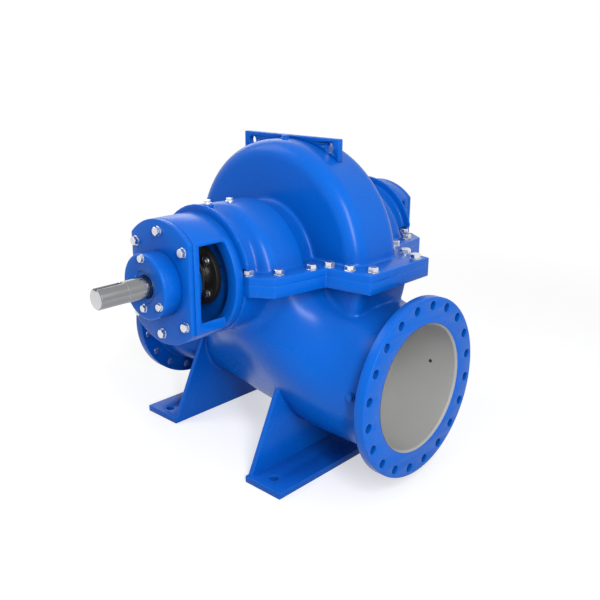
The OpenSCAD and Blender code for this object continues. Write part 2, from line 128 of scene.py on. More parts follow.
def makeStudio():
    world = bpy.data.worlds.new("studioWorld")
    scene.world = world
    world.use_nodes = True
    tree = world.node_tree
    tree.nodes.clear()
    seen = backgroundRays(tree)
    soft = node(tree, "ShaderNodeBackground", -300, 0)
    soft.inputs["Color"].default_value = studio["white"]
    soft.inputs["Strength"].default_value = studio["worldLight"]
    white = node(tree, "ShaderNodeBackground", -300, -160)
    white.inputs["Color"].default_value = studio["white"]
    white.inputs["Strength"].default_value = 1.0
    mix = node(tree, "ShaderNodeMixShader", -60, 0)
    link(tree, seen, mix.inputs[0])
    link(tree, soft.outputs[0], mix.inputs[1])
    link(tree, white.outputs[0], mix.inputs[2])
    out = node(tree, "ShaderNodeOutputWorld", 160, 0)
    link(tree, mix.outputs[0], out.inputs["Surface"])

    half = studio["floorHalf"]
    mesh = bpy.data.meshes.new("studioFloor")
    corners = [(-half, -half, 0), (half, -half, 0), (half, half, 0), (-half, half, 0)]
    mesh.from_pydata(corners, [], [(0, 1, 2, 3)])
    floor = bpy.data.objects.new("studioFloor", mesh)
    scene.collection.objects.link(floor)
    mat = bpy.data.materials.new("paleFloor")
    mat.use_nodes = True
    tree = mat.node_tree
    tree.nodes.clear()
    seen = backgroundRays(tree)
    place = node(tree, "ShaderNodeNewGeometry", -900, -200)
    reach = node(tree, "ShaderNodeVectorMath", -700, -200, operation="LENGTH")
    link(tree, place.outputs["Position"], reach.inputs[0])
    fade = node(tree, "ShaderNodeMapRange", -500, -200, interpolation_type="SMOOTHSTEP")
    fade.inputs["From Min"].default_value = studio["fadeFrom"]
    fade.inputs["From Max"].default_value = studio["fadeTo"]
    link(tree, reach.outputs["Value"], fade.inputs["Value"])
    paint = node(tree, "ShaderNodeBsdfDiffuse", -500, 120)
    tone = studio["floorTone"]
    paint.inputs["Color"].default_value = (tone, tone, tone, 1.0)
    glowLevel = node(tree, "ShaderNodeMath", -320, 260, operation="MULTIPLY")
    link(tree, seen, glowLevel.inputs[0])
    glowLevel.inputs[1].default_value = studio["floorGlow"]
    glow = node(tree, "ShaderNodeEmission", -140, 260)
    glow.inputs["Color"].default_value = studio["white"]
    link(tree, glowLevel.outputs[0], glow.inputs["Strength"])
    near = node(tree, "ShaderNodeAddShader", 40, 180)
    link(tree, paint.outputs[0], near.inputs[0])
    link(tree, glow.outputs[0], near.inputs[1])
    far = node(tree, "ShaderNodeEmission", -140, -60)
    far.inputs["Color"].default_value = studio["white"]
    link(tree, seen, far.inputs["Strength"])
    mix = node(tree, "ShaderNodeMixShader", 220, 80)
    link(tree, fade.outputs["Result"], mix.inputs[0])
    link(tree, near.outputs[0], mix.inputs[1])
    link(tree, far.outputs[0], mix.inputs[2])
    out = node(tree, "ShaderNodeOutputMaterial", 420, 80)
    link(tree, mix.outputs[0], out.inputs["Surface"])
    mesh.materials.append(mat)

    for name, place, aim, wide, high, watts in studio["lamps"]:
        data = bpy.data.lights.new(name, "AREA")
        data.shape, data.size, data.size_y, data.energy = "RECTANGLE", wide, high, watts
        lamp = bpy.data.objects.new(name, data)
        lamp.location = place
        lamp.rotation_euler = (Vector(aim) - Vector(place)).to_track_quat("-Z", "Y").to_euler()
        scene.collection.objects.link(lamp)
    scene.view_settings.view_transform = "Standard"


makeStudio()
print("studio set")


# shader node groups shared by the finishes
def newGroup(name, inputs, outputs):
    tree = bpy.data.node_groups.new(name, "ShaderNodeTree")
    for label, value in inputs:
        socket = tree.interface.new_socket(label, in_out="INPUT", socket_type="NodeSocketFloat")
        socket.default_value = value
    for label in outputs:
        tree.interface.new_socket(label, in_out="OUTPUT", socket_type="NodeSocketFloat")
    return tree, node(tree, "NodeGroupInput", -900, 0), node(tree, "NodeGroupOutput", 700, 0)


def cloudNoise(tree, scaleSocket, detail, rough, x, y):
    where = node(tree, "ShaderNodeTexCoord", x - 220, y)
    noise = node(tree, "ShaderNodeTexNoise", x, y)
    noise.inputs["Detail"].default_value = detail
    noise.inputs["Roughness"].default_value = rough
    link(tree, where.outputs["Object"], noise.inputs["Vector"])
    link(tree, scaleSocket, noise.inputs["Scale"])
    return noise.outputs["Fac"]


def mathStep(tree, kind, a, b, x, y, clamp=False):
    step = node(tree, "ShaderNodeMath", x, y, operation=kind, use_clamp=clamp)
    for socket, value in zip(step.inputs, (a, b)):
        if isinstance(value, (int, float)):
            socket.default_value = value
        else:
            link(tree, value, socket)
    return step.outputs[0]


def makeMottle():
    tree, inn, out = newGroup("surfaceMottle", [("Scale", 6.0), ("Contrast", 1.0)], ["Mask"])
    fac = cloudNoise(tree, inn.outputs["Scale"], 4.0, 0.55, -200, 0)
    low = mathStep(tree, "SUBTRACT", fac, 0.5, 40, 0)
    gain = mathStep(tree, "MULTIPLY", low, inn.outputs["Contrast"], 220, 0)
    link(tree, mathStep(tree, "ADD", gain, 0.5, 400, 0, True), out.inputs["Mask"])
    return tree


def makeCastGrain():
    tree, inn, out = newGroup("castGrain", [("Scale", 90.0), ("Wave", 0.4)], ["Height"])
    fine = cloudNoise(tree, inn.outputs["Scale"], 3.0, 0.6, -200, 160)
    slowScale = mathStep(tree, "MULTIPLY", inn.outputs["Scale"], 0.11, -600, -260)
    slow = cloudNoise(tree, slowScale, 1.0, 0.4, -200, -160)
    big = mathStep(tree, "MULTIPLY", slow, inn.outputs["Wave"], 200, -160)
    link(tree, mathStep(tree, "ADD", fine, big, 420, 0), out.inputs["Height"])
    return tree


# edge wear, and on the blue paint a painted edge highlight: edges found by the Bevel node take a lighter colour
def makeEdgeWearAndHighlight():
    tree, inn, out = newGroup("edgeWearAndHighlight", [("Width", 0.004), ("Gain", 6.0), ("Breakup", 40.0)], ["Edge"])
    soft = node(tree, "ShaderNodeBevel", -500, 120, samples=6)
    link(tree, inn.outputs["Width"], soft.inputs["Radius"])
    true = node(tree, "ShaderNodeNewGeometry", -500, -80)
    same = node(tree, "ShaderNodeVectorMath", -300, 60, operation="DOT_PRODUCT")
    link(tree, soft.outputs["Normal"], same.inputs[0])
    link(tree, true.outputs["Normal"], same.inputs[1])
    turn = mathStep(tree, "SUBTRACT", 1.0, same.outputs["Value"], -100, 60)
    strong = mathStep(tree, "MULTIPLY", turn, inn.outputs["Gain"], 80, 60, True)
    patch = cloudNoise(tree, inn.outputs["Breakup"], 3.0, 0.6, 40, -220)
    lift = mathStep(tree, "MULTIPLY_ADD", patch, 1.4, 260, -220)  # the added half is the node's own value
    link(tree, mathStep(tree, "MULTIPLY", strong, lift, 460, 0, True), out.inputs["Edge"])
    return tree


def makeDust():
    tree, inn, out = newGroup("dustSettle", [("Amount", 0.5), ("Scale", 9.0)], ["Dust"])
    true = node(tree, "ShaderNodeNewGeometry", -500, 100)
    parts = node(tree, "ShaderNodeSeparateXYZ", -320, 100)
    link(tree, true.outputs["Normal"], parts.inputs[0])
    flat = node(tree, "ShaderNodeMapRange", -140, 100, interpolation_type="SMOOTHSTEP")
    flat.inputs["From Min"].default_value = 0.55
    flat.inputs["From Max"].default_value = 0.98
    link(tree, parts.outputs["Z"], flat.inputs["Value"])
    patch = cloudNoise(tree, inn.outputs["Scale"], 5.0, 0.6, -140, -200)
    both = mathStep(tree, "MULTIPLY", flat.outputs["Result"], patch, 120, 0)
    laid = mathStep(tree, "MULTIPLY", both, inn.outputs["Amount"], 320, 0, True)
    link(tree, laid, out.inputs["Dust"])
    return tree


def makeToolMarks():
    tree, inn, out = newGroup("toolMarks", [("Pitch", 900.0), ("Wander", 14.0)], ["Height"])
    where = node(tree, "ShaderNodeTexCoord", -700, 0)
    parts = node(tree, "ShaderNodeSeparateXYZ", -520, 0)
    link(tree, where.outputs["Object"], parts.inputs[0])
    wander = cloudNoise(tree, inn.outputs["Wander"], 2.0, 0.5, -300, -200)
    phase = mathStep(tree, "MULTIPLY", parts.outputs["X"], inn.outputs["Pitch"], -320, 60)
    drift = mathStep(tree, "MULTIPLY", wander, 5.0, -80, -160)
    wave = mathStep(tree, "SINE", mathStep(tree, "ADD", phase, drift, 60, 40), 0.0, 220, 40)
    link(tree, wave, out.inputs["Height"])
    return tree


# painted shade: the colour is darkened where ambient occlusion finds corners, creases and recesses
def makePaintedRecessShade():
    tree, inn, out = newGroup("recessShade", [("Reach", 0.3), ("Depth", 1.0)], ["Shade"])
    occludedShade = node(tree, "ShaderNodeAmbientOcclusion", -300, 0, samples=8)
    link(tree, inn.outputs["Reach"], occludedShade.inputs["Distance"])
    shut = mathStep(tree, "SUBTRACT", 1.0, occludedShade.outputs["AO"], -60, 0)
    link(tree, mathStep(tree, "MULTIPLY", shut, inn.outputs["Depth"], 140, 0, True), out.inputs["Shade"])
    return tree


def makeEndFaceMask():  # picks out the end faces turned square to the shaft
    tree, inn, out = newGroup("endFaceMask", [("Steep", 0.90)], ["End"])
    true = node(tree, "ShaderNodeNewGeometry", -500, 100)
    parts = node(tree, "ShaderNodeSeparateXYZ", -320, 100)
    link(tree, true.outputs["True Normal"], parts.inputs[0])
    along = mathStep(tree, "ABSOLUTE", parts.outputs["X"], 0.0, -120, 100)
    link(tree, mathStep(tree, "GREATER_THAN", along, inn.outputs["Steep"], 80, 0), out.inputs["End"])
    return tree


groups = {
    "mottle": makeMottle(), "grain": makeCastGrain(), "edge": makeEdgeWearAndHighlight(), "dust": makeDust(),
    "marks": makeToolMarks(), "recess": makePaintedRecessShade(), "endFace": makeEndFaceMask(),
}
print("node groups made")


def placeGroup(tree, key, x, y, **values):
    used = node(tree, "ShaderNodeGroup", x, y, node_tree=groups[key])
    for label, value in values.items():
        used.inputs[label].default_value = value
    return used


def mixColour(tree, mask, a, b, x, y):
    mix = node(tree, "ShaderNodeMix", x, y, data_type="RGBA")
    link(tree, mask, mix.inputs[0])
    for socket, value in ((mix.inputs[6], a), (mix.inputs[7], b)):
        if isinstance(value, tuple):
            socket.default_value = (*value, 1.0)
        else:
            link(tree, value, socket)
    return mix.outputs[2]


def spread(tree, mask, low, high, x, y):
    level = node(tree, "ShaderNodeMapRange", x, y)
    level.inputs["To Min"].default_value = low
    level.inputs["To Max"].default_value = high
    link(tree, mask, level.inputs["Value"])
    return level.outputs["Result"]


surface = {  # what all finishes share
    "mottleScale": 5.0, "mottleContrast": 1.6, "edgeGain": 4.0, "edgeBreakup": 45.0,
    "dustScale": 11.0, "dustTone": (0.42, 0.44, 0.46), "dustDull": 0.25,
    "recessReach": 0.30, "recessTone": 0.42, "markWander": 14.0, "endSteep": 0.90,
}


def makeFinish(name, base, shade, rubbedAndLitEdge, rough, metallic=0.0, specular=0.5, grain=90.0, wave=0.4, bump=0.02,
               bumpDepth=0.001, edgeWidth=0.004, dust=0.15, marks=None, recess=0.0, endFace=None):
    mat = bpy.data.materials.new(name)
    mat.use_nodes = True
    tree = mat.node_tree
    tree.nodes.clear()
    body = node(tree, "ShaderNodeBsdfPrincipled", 500, 0)
    body.inputs["Metallic"].default_value = metallic
    body.inputs["Specular IOR Level"].default_value = specular
    mottle = placeGroup(tree, "mottle", -700, 200, Scale=surface["mottleScale"],
                        Contrast=surface["mottleContrast"])
    cloud = mottle.outputs["Mask"]
    colour = mixColour(tree, cloud, shade, base, -450, 200)
    # edges take the edge colour: wear on metal and black parts, a painted highlight on the blue paint
    wornLitEdge = placeGroup(tree, "edge", -700, -60, Width=edgeWidth, Gain=surface["edgeGain"],
                     Breakup=surface["edgeBreakup"])
    colour = mixColour(tree, wornLitEdge.outputs["Edge"], colour, rubbedAndLitEdge, -220, 160)
    settled = placeGroup(tree, "dust", -700, -260, Amount=dust, Scale=surface["dustScale"]).outputs["Dust"]
    colour = mixColour(tree, settled, colour, surface["dustTone"], 20, 120)
    # painted shade darkens the colour in corners and recesses
    if recess:
        occludedShade = placeGroup(tree, "recess", -700, 420, Reach=surface["recessReach"], Depth=recess).outputs["Shade"]
        colour = mixColour(tree, occludedShade, colour, tuple(surface["recessTone"] * c for c in shade), 260, 160)
    # end faces square to the shaft take a lighter colour
    if endFace:
        ends = placeGroup(tree, "endFace", -700, 620, Steep=surface["endSteep"]).outputs["End"]
        colour = mixColour(tree, ends, colour, endFace, 260, 360)
    link(tree, colour, body.inputs["Base Color"])
    dull = mathStep(tree, "MULTIPLY_ADD", settled, surface["dustDull"], 200, -80)
    link(tree, spread(tree, cloud, rough[0], rough[1], -220, -120), dull.node.inputs[2])
    link(tree, dull, body.inputs["Roughness"])
    if marks:
        height = placeGroup(tree, "marks", -700, -460, Pitch=marks, Wander=surface["markWander"]).outputs["Height"]
    else:
        height = placeGroup(tree, "grain", -700, -460, Scale=grain, Wave=wave).outputs["Height"]
    relief = node(tree, "ShaderNodeBump", 200, -300)
    relief.inputs["Strength"].default_value = bump
    relief.inputs["Distance"].default_value = bumpDepth
    link(tree, height, relief.inputs["Height"])
    link(tree, relief.outputs["Normal"], body.inputs["Normal"])
    out = node(tree, "ShaderNodeOutputMaterial", 800, 0)
    link(tree, body.outputs[0], out.inputs["Surface"])
    return mat


# blueShade is a random mottle tone; the lighter third blue is a painted edge highlight
blueBase, blueShade, blueEdgeHighlight = (0.001, 0.135, 0.66), (0.001, 0.125, 0.62), (0.012, 0.20, 0.80)
finishes = {
    "casing_paint": makeFinish("casingPaint", blueBase, blueShade, blueEdgeHighlight, (0.25, 0.30), specular=0.15,
                               bump=0.10, bumpDepth=0.0012, grain=120.0, wave=0.6, dust=0.03, recess=0.85),
    "bracket_paint": makeFinish("bracketPaint", blueBase, blueShade, blueEdgeHighlight, (0.25, 0.30), specular=0.15,
                                bump=0.08, bumpDepth=0.0012, grain=150.0, wave=0.5, dust=0.03, recess=0.85),
    "seal_black": makeFinish("sealBlack", (0.016, 0.015, 0.014), (0.010, 0.010, 0.010), (0.10, 0.085, 0.06),
                             (0.45, 0.60), metallic=0.3, bump=0.2, grain=200.0, dust=0.05),
    "slinger_black": makeFinish("slingerRubber", (0.012, 0.012, 0.012), (0.008, 0.008, 0.008), (0.03, 0.03, 0.03),
                                (0.55, 0.7), bump=0.15, grain=260.0, dust=0.08),
    "shaft_steel": makeFinish("groundSteel", (0.275, 0.28, 0.29), (0.235, 0.24, 0.25), (0.50, 0.51, 0.52),
                              (0.17, 0.25), metallic=1.0, marks=2600.0, bump=0.05, bumpDepth=0.0002,
                              edgeWidth=0.002, dust=0.0, endFace=(0.62, 0.625, 0.63)),
    "sleeve_steel": makeFinish("sleeveSteel", (0.56, 0.55, 0.53), (0.48, 0.48, 0.47), (0.75, 0.75, 0.74),
                               (0.22, 0.32), metallic=1.0, marks=1900.0, bump=0.06, bumpDepth=0.0002,
                               edgeWidth=0.002, dust=0.0),
    "plug_steel": makeFinish("zincPlate", (0.74, 0.76, 0.79), (0.64, 0.66, 0.70), (0.90, 0.91, 0.93), (0.22, 0.34),
                             metallic=1.0, grain=400.0, bump=0.06, bumpDepth=0.0003, edgeWidth=0.0015, dust=0.0),
}
bareIron = makeFinish("boredIron", (0.41, 0.41, 0.405), (0.37, 0.37, 0.365), (0.70, 0.70, 0.69), (0.48, 0.60),
                      metallic=0.0, specular=0.25, grain=60.0, wave=0.8, bump=0.08, bumpDepth=0.001, dust=0.0)
print("finishes made")

# cast skins: fields of distance in millimetres, joined with round fillets and turned into meshes
skin = {"softCell": 9.6, "loftStep": 8.0, "loftAngles": 144, "loftSoftY": 5.0, "loftSoftAngle": 4.0,
        "polish": 3, "sharpAngle": 38.0, "rimSides": 160, "boreSides": 128, "holeSides": 28}


def roundUnion(a, b, r):
    u, v = np.maximum(r - a, 0.0), np.maximum(r - b, 0.0)
    return np.maximum(r, np.minimum(a, b)) - np.sqrt(u * u + v * v)


def boxed(q, w, rnd):  # rounded corner between two distances
    q, w = q + rnd, w + rnd
    return np.minimum(np.maximum(q, w), 0.0) + np.hypot(np.maximum(q, 0.0), np.maximum(w, 0.0)) - rnd


def drumField(p, r, half, rnd, yc, zc):
    return boxed(np.hypot(p[1] - yc, p[2] - zc) - r, np.abs(p[0]) - half, rnd)


def bandField(p, r, x0, x1, rnd, yc, zc):  # the same band at both ends of the pump
    middle, half = (x0 + x1) / 2.0, (x1 - x0) / 2.0
    return boxed(np.hypot(p[1] - yc, p[2] - zc) - r, np.abs(np.abs(p[0]) - middle) - half, rnd)


def pipeField(p, r, y0, y1, rnd, zc):
    return boxed(np.hypot(p[0], p[2] - zc) - r, np.abs(p[1] - (y0 + y1) / 2.0) - (y1 - y0) / 2.0, rnd)


def outlineField(u, v, ring):
    best, inside = None, None
    for (ax, ay), (bx, by) in zip(ring, ring[1:] + ring[:1]):
        ex, ey = bx - ax, by - ay
        wx, wy = u - ax, v - ay
        t = np.clip((wx * ex + wy * ey) / (ex * ex + ey * ey), 0.0, 1.0)
        gap = (wx - ex * t) ** 2 + (wy - ey * t) ** 2
        best = gap if best is None else np.minimum(best, gap)
        cross = ((ay > v) != (by > v)) & (wx < ex * wy / (ey if abs(ey) > 1e-6 else 1e-6))
        inside = cross if inside is None else inside ^ cross
    return np.where(inside, -1.0, 1.0) * np.sqrt(best)


def blurRows(table, spread, wrap):
    reach = int(spread * 3) + 1
    weights = np.exp(-0.5 * (np.arange(-reach, reach + 1) / spread) ** 2)
    weights /= weights.sum()
    padded = np.pad(table, ((reach, reach), (0, 0)), mode="wrap" if wrap else "edge")
    return sum(w * padded[i:i + len(table)] for i, w in enumerate(weights))


def loftOf(points, y0, y1, centre):
    bm = bmesh.new()
    for p in points:
        bm.verts.new(p)
    bmesh.ops.convex_hull(bm, input=bm.verts)
    tree = BVHTree.FromBMesh(bm)
    bm.free()
    start, end = min(p[1] for p in points), max(p[1] for p in points)
    ys = np.arange(y0, y1 + skin["loftStep"], skin["loftStep"])
    zs = np.interp(ys, [c[0] for c in centre], [c[1] for c in centre])
    angles = np.arange(skin["loftAngles"]) * 2.0 * math.pi / skin["loftAngles"]
    table = np.zeros((len(ys), len(angles)))
    for i, (y, z) in enumerate(zip(ys, zs)):
        at = Vector((0.0, min(max(y, start + 1.0), end - 1.0), z))
        for j, a in enumerate(angles):
            table[i, j] = tree.ray_cast(at, Vector((math.cos(a), 0.0, math.sin(a))))[3]
    table = blurRows(table, skin["loftSoftY"], False)
    table = blurRows(table.T, skin["loftSoftAngle"], True).T
    slopeY = np.gradient(table, skin["loftStep"], axis=0)
    slopeA = (np.roll(table, -1, 1) - np.roll(table, 1, 1)) / (2.0 * angles[1] * table)
    return {"y0": y0, "y1": y1, "zs": zs, "ys": ys, "table": table,
            "scale": 1.0 / np.sqrt(1.0 + slopeY ** 2 + slopeA ** 2)}


def loftField(p, loft):
    count = skin["loftAngles"]
    zc = np.interp(p[1], loft["ys"], loft["zs"])
    row = np.clip((p[1] - loft["y0"]) / skin["loftStep"], 0.0, len(loft["ys"]) - 1.001)
    x, up = p[0], p[2] - zc
    col = np.mod(np.arctan2(up, x), 2.0 * math.pi) * count / (2.0 * math.pi)
    i, j = np.floor(row).astype(int), np.floor(col).astype(int)
    fy, fa = row - i, col - j
    j0, j1 = j % count, (j + 1) % count

    def pick(table):
        low = table[i, j0] * (1 - fa) + table[i, j1] * fa
        return low * (1 - fy) + (table[i + 1, j0] * (1 - fa) + table[i + 1, j1] * fa) * fy

    side = (np.hypot(x, up) - pick(loft["table"])) * pick(loft["scale"])
    return np.maximum(side, np.maximum(loft["y0"] - p[1], p[1] - loft["y1"]))


def gridAxes(low, high, cell):
    axes = [np.arange(a, b + cell, cell) for a, b in zip(low, high)]
    return axes, (axes[0][:, None, None], axes[1][None, :, None], axes[2][None, None, :])


def softened(field, low, high, spread):  # the same form with every crease eased
    axes, grid = gridAxes(low, high, skin["softCell"])
    f = np.array(np.broadcast_to(field(grid), [len(a) for a in axes]))
    for axis in range(3):
        turned = np.moveaxis(f, axis, 0)
        f = np.moveaxis(blurRows(turned.reshape(len(turned), -1), spread, False).reshape(turned.shape), 0, axis)

    def sample(p):
        spots = zip(np.broadcast_arrays(*p), axes)
        at = [np.clip((c - a[0]) / skin["softCell"], 0.0, len(a) - 1.001) for c, a in spots]
        i = [np.floor(c).astype(int) for c in at]
        u, v, w = (c - k for c, k in zip(at, i))
        out = 0.0
        for a in (0, 1):
            for b in (0, 1):
                row = f[i[0] + a, i[1] + b, i[2]] * (1 - w) + f[i[0] + a, i[1] + b, i[2] + 1] * w
                out = out + row * (u if a else 1 - u) * (v if b else 1 - v)
        return out

    return sample


def meshFromField(field, low, high, cell):
    axes, grid = gridAxes(low, high, cell)
    f = np.broadcast_to(field(grid), [len(a) for a in axes])
    solid = f < 0.0
    n = [s - 1 for s in f.shape]
    corners = [(i, j, k) for i in (0, 1) for j in (0, 1) for k in (0, 1)]
    cut = [(slice(i, i + n[0]), slice(j, j + n[1]), slice(k, k + n[2])) for i, j, k in corners]
    count = sum(solid[c].astype(np.int8) for c in cut)
    mask = (count > 0) & (count < 8)
    values = np.stack([f[c][mask] for c in cut], 1)
    spotSum, hits = np.zeros((len(values), 3)), np.zeros(len(values))
    for a in range(8):
        for b in range(a + 1, 8):
            ca, cb = np.array(corners[a], float), np.array(corners[b], float)
            if np.abs(ca - cb).sum() != 1:
                continue
            va, vb = values[:, a], values[:, b]
            cross = (va < 0) != (vb < 0)
            t = np.where(cross, va / np.where(cross, va - vb, 1.0), 0.0)
            spotSum += np.where(cross[:, None], ca + t[:, None] * (cb - ca), 0.0)
            hits += cross
    verts = np.array([a[0] for a in axes]) + cell * (np.argwhere(mask) + spotSum / hits[:, None])
    index = np.full(mask.shape, -1)
    index[mask] = np.arange(len(verts))
    faces = []
    for axis in range(3):
        s0, s1 = [slice(None)] * 3, [slice(None)] * 3
        s0[axis], s1[axis] = slice(0, -1), slice(1, None)
        b, c = [k for k in range(3) if k != axis]
        change = np.argwhere(solid[tuple(s0)] != solid[tuple(s1)])
        change = change[(change[:, b] > 0) & (change[:, c] > 0) & (change[:, b] < n[b]) & (change[:, c] < n[c])]
        corner = []
        for db, dc in ((1, 1), (0, 1), (0, 0), (1, 0)):
            at = change.copy()
            at[:, b] -= db
            at[:, c] -= dc
            corner.append(index[tuple(at.T)])
        quad = np.stack(corner, 1)
        inside = solid[tuple(change.T)]
        turn = inside if axis != 1 else ~inside
        quad[~turn] = quad[~turn][:, ::-1]
        faces.append(quad)
    faces = np.concatenate(faces)
    for _ in range(skin["polish"]):  # settles the points on the true surface
        p = verts.T
        here = field(p)
        grad = np.stack([field(p + e[:, None]) - field(p - e[:, None]) for e in np.eye(3)], 1) / 2.0
        size = np.maximum((grad ** 2).sum(1), 0.25)
        step = np.clip(here / size, -cell / 2, cell / 2)
        verts = verts - grad * step[:, None]
    return verts, faces


# plates with eased edges
def bandFaces(rings, n):  # quads between rings of n points each
    return [(k * n + i, k * n + (i + 1) % n, (k + 1) * n + (i + 1) % n, (k + 1) * n + i)
            for k in range(rings - 1) for i in range(n)]


def insetRing(ring, gap):
    out = []
    area = sum(a[0] * b[1] - b[0] * a[1] for a, b in zip(ring, ring[1:] + ring[:1]))
    sign = 1.0 if area > 0 else -1.0
    for before, here, after in zip(ring[-1:] + ring[:-1], ring, ring[1:] + ring[:1]):
        a = (Vector(here) - Vector(before)).normalized()
        b = (Vector(after) - Vector(here)).normalized()
        na, nb = Vector((-a.y, a.x)) * sign, Vector((-b.y, b.x)) * sign
        mid = na + nb
        out.append(tuple(Vector(here) + mid * (gap * 2.0 / max(mid.length_squared, 0.5))))
    return out


def easeCorners(ring, r, steps=3):
    out = []
    for before, here, after in zip(ring[-1:] + ring[:-1], ring, ring[1:] + ring[:1]):
        h = Vector(here)
        a, b = (Vector(before) - h).normalized(), (Vector(after) - h).normalized()
        for k in range(steps + 1):
            t = k / steps
            out.append(tuple((1 - t) ** 2 * (h + a * r) + 2 * t * (1 - t) * h + t * t * (h + b * r)))
    return out


def slab(ring, z0, z1, easeLow, easeHigh):  # flat plate from an outline in x and y
    levels = [(easeLow, z0), (easeLow * 0.3, z0 + easeLow * 0.3), (0.0, z0 + easeLow),
              (0.0, z1 - easeHigh), (easeHigh * 0.3, z1 - easeHigh * 0.3), (easeHigh, z1)]
    verts, n = [], len(ring)
    for gap, z in levels:
        verts += [(x, y, z) for x, y in insetRing(ring, gap)]
    ends = [tuple(reversed(range(n))), tuple(range((len(levels) - 1) * n, len(levels) * n))]
    return verts, bandFaces(len(levels), n) + ends


def circle(x, y, r, count):
    return [(x + r * math.cos(2 * math.pi * i / count), y + r * math.sin(2 * math.pi * i / count))
            for i in range(count)]


def holedPlate(ring, holes, thick, ease, put):
    cut = bpy.data.curves.new("plateCut", "CURVE")
    cut.dimensions, cut.fill_mode = "2D", "BOTH"
    cut.extrude, cut.bevel_depth, cut.bevel_resolution, cut.offset = thick / 2 - ease, ease, 2, -ease
    for line in [ring] + holes:
        spline = cut.splines.new("POLY")
        spline.points.add(len(line) - 1)
        spline.points.foreach_set("co", [c for x, y in line for c in (x, y, 0.0, 1.0)])
        spline.use_cyclic_u = True
    holder = bpy.data.objects.new("plateCut", cut)
    scene.collection.objects.link(holder)
    bpy.context.view_layer.update()
    mesh = holder.to_mesh()
    verts = [put(*v.co) for v in mesh.vertices]
    faces = [tuple(f.vertices) for f in mesh.polygons]
    holder.to_mesh_clear()
    bpy.data.objects.remove(holder)
    bpy.data.curves.remove(cut)
    return verts, faces


def turnedY(profile, zc):  # ring on a pipe centreline, points given as radius and y
    count = skin["boreSides"]
    turns = [2 * math.pi * i / count for i in range(count)]
    verts = [(r * math.cos(a), y, zc + r * math.sin(a)) for r, y in profile for a in turns]
    return verts, bandFaces(len(profile), count)


def buildPiece(name, parts, finish, turnOut=True):
    bm = bmesh.new()
    for verts, faces in parts:
        made = [bm.verts.new(Vector(v) / 1000.0 + origin) for v in verts]
        own = [bm.faces.new([made[i] for i in f]) for f in faces]
        if turnOut:
            bmesh.ops.remove_doubles(bm, verts=made, dist=1e-6)
            bmesh.ops.recalc_face_normals(bm, faces=[f for f in own if f.is_valid])
    mesh = bpy.data.meshes.new(name)
    bm.to_mesh(mesh)
    bm.free()
    mesh.materials.append(finish)
    mesh.shade_smooth()
    mesh.set_sharp_from_angle(angle=math.radians(skin["sharpAngle"]))
    piece = bpy.data.objects.new(name, mesh)
    scene.collection.objects.link(piece)
    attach(piece, "casing")
    return piece


# lower casing: belly, volute, domes, branches, webs and feet
lower = {
    "cell": 9.4, "domeR": 284.0, "domeHalf": 425.0, "domeZ": 816.0,
    "melonRound": 212.0, "melonTop": 696.0, "melonTrim": 8.0, "melonWaist": 0.28, "throatHalf": 15.0,
    "flareY": -455.0, "shoulderY": [-480.0, -430.0, -280.0], "shoulder": [90.0, 95.0, 110.0],
    "saddleHalf": [208.0, 218.0, 220.0], "crownY": [-580.0, -520.0, -470.0], "crownZ": [600.0, 672.0, 701.0],
    "topFillet": 200.0, "topBlend": 12.0, "topLow": 560.0, "sideZ": 640.0,
    "bellyRun": (-776.0, 455.0), "bellyLine": [(-776, 420), (-296, 420), (0, 430), (200, 400), (440, 288)],
    "branchRun": (425.0, 810.0), "branchLine": [(425, 424), (690, 420), (810, 420)],
    "soft": 2.5, "softBox": ((-520, -700, 80), (520, 752, 880)), "skinBox": ((-512, -690, 8), (512, 744, 860)),
    "neckR": 234.0, "neckRound": 5.0, "neckBlend": 40.0,
    "voluteR": 498.0, "voluteHalf": 155.0, "voluteRound": 38.0, "voluteY": 4.0, "voluteBlend": 10.0,
    "branchBlend": 30.0, "webBlend": 14.0, "plateBlend": 10.0, "flangeBlend": 18.0, "flangeEase": 3.2,
    "boreRoom": 9.0, "borePast": 40.0, "sucBoreEnd": -262.0, "sucBoreRound": 60.0,
    "disBoreEnd": 596.0, "disBoreRound": 30.0, "behindFace": 6.0, "skinFace": 1.5,
    "webThick": 22.0, "webBase": 0.5, "webEase": 2.0, "webCorner": 4.0, "footThick": 28.0, "footEase": 2.2,
    "footCorner": 5.0, "footTrim": 0.6, "footHole": 17.5, "sunk": 2.0,
    "feet": [  # inner edge, direction, half width, depth, web half widths and top, hole place
        {"inner": -161.0, "way": -1.0, "half": 450.0, "deep": 194.0, "webFoot": 443.0, "webTop": 252.0,
         "topZ": 406.0, "hole": 384.0},
        {"inner": 439.0, "way": 1.0, "half": 325.0, "deep": 207.0, "webFoot": 322.0, "webTop": 116.0,
         "topZ": 430.0, "hole": 276.0},
    ],
}


def melonPoints():
    points = []
    r, half, rnd = lower["domeR"], lower["domeHalf"], lower["melonRound"]
    for k in range(13):
        a = math.radians(7.5 * k)
        x, ring = half - rnd + rnd * math.cos(a), r - rnd + rnd * math.sin(a)
        for i in range(96):
            t = 2 * math.pi * i / 96
            y, z = ring * math.cos(t), lower["domeZ"] + ring * math.sin(t)
            if z < lower["melonTop"]:
                points += [(x, y, z), (-x, y, z)]
    reach = math.sqrt(r * r - (lower["domeZ"] - lower["melonTop"]) ** 2)
    wide = half - lower["melonTrim"]
    for x, y in ((half - rnd, reach), (wide, reach * lower["melonWaist"])):
        points += [(sx * x, sy * y, lower["melonTop"]) for sx in (-1, 1) for sy in (-1, 1)]
    return points


def throatPoints(z):
    ends = (pump["throatY"] - lower["throatHalf"], pump["throatY"] + lower["throatHalf"])
    return [(x, y, z + v) for x, v in circle(0, 0, pump["throatR"], 48) for y in ends]


def branchPoints(r, y0, y1):
    return [(x, y, pump["pipeZ"] + v) for x, v in circle(0, 0, r, 96) for y in (y0, y1)]


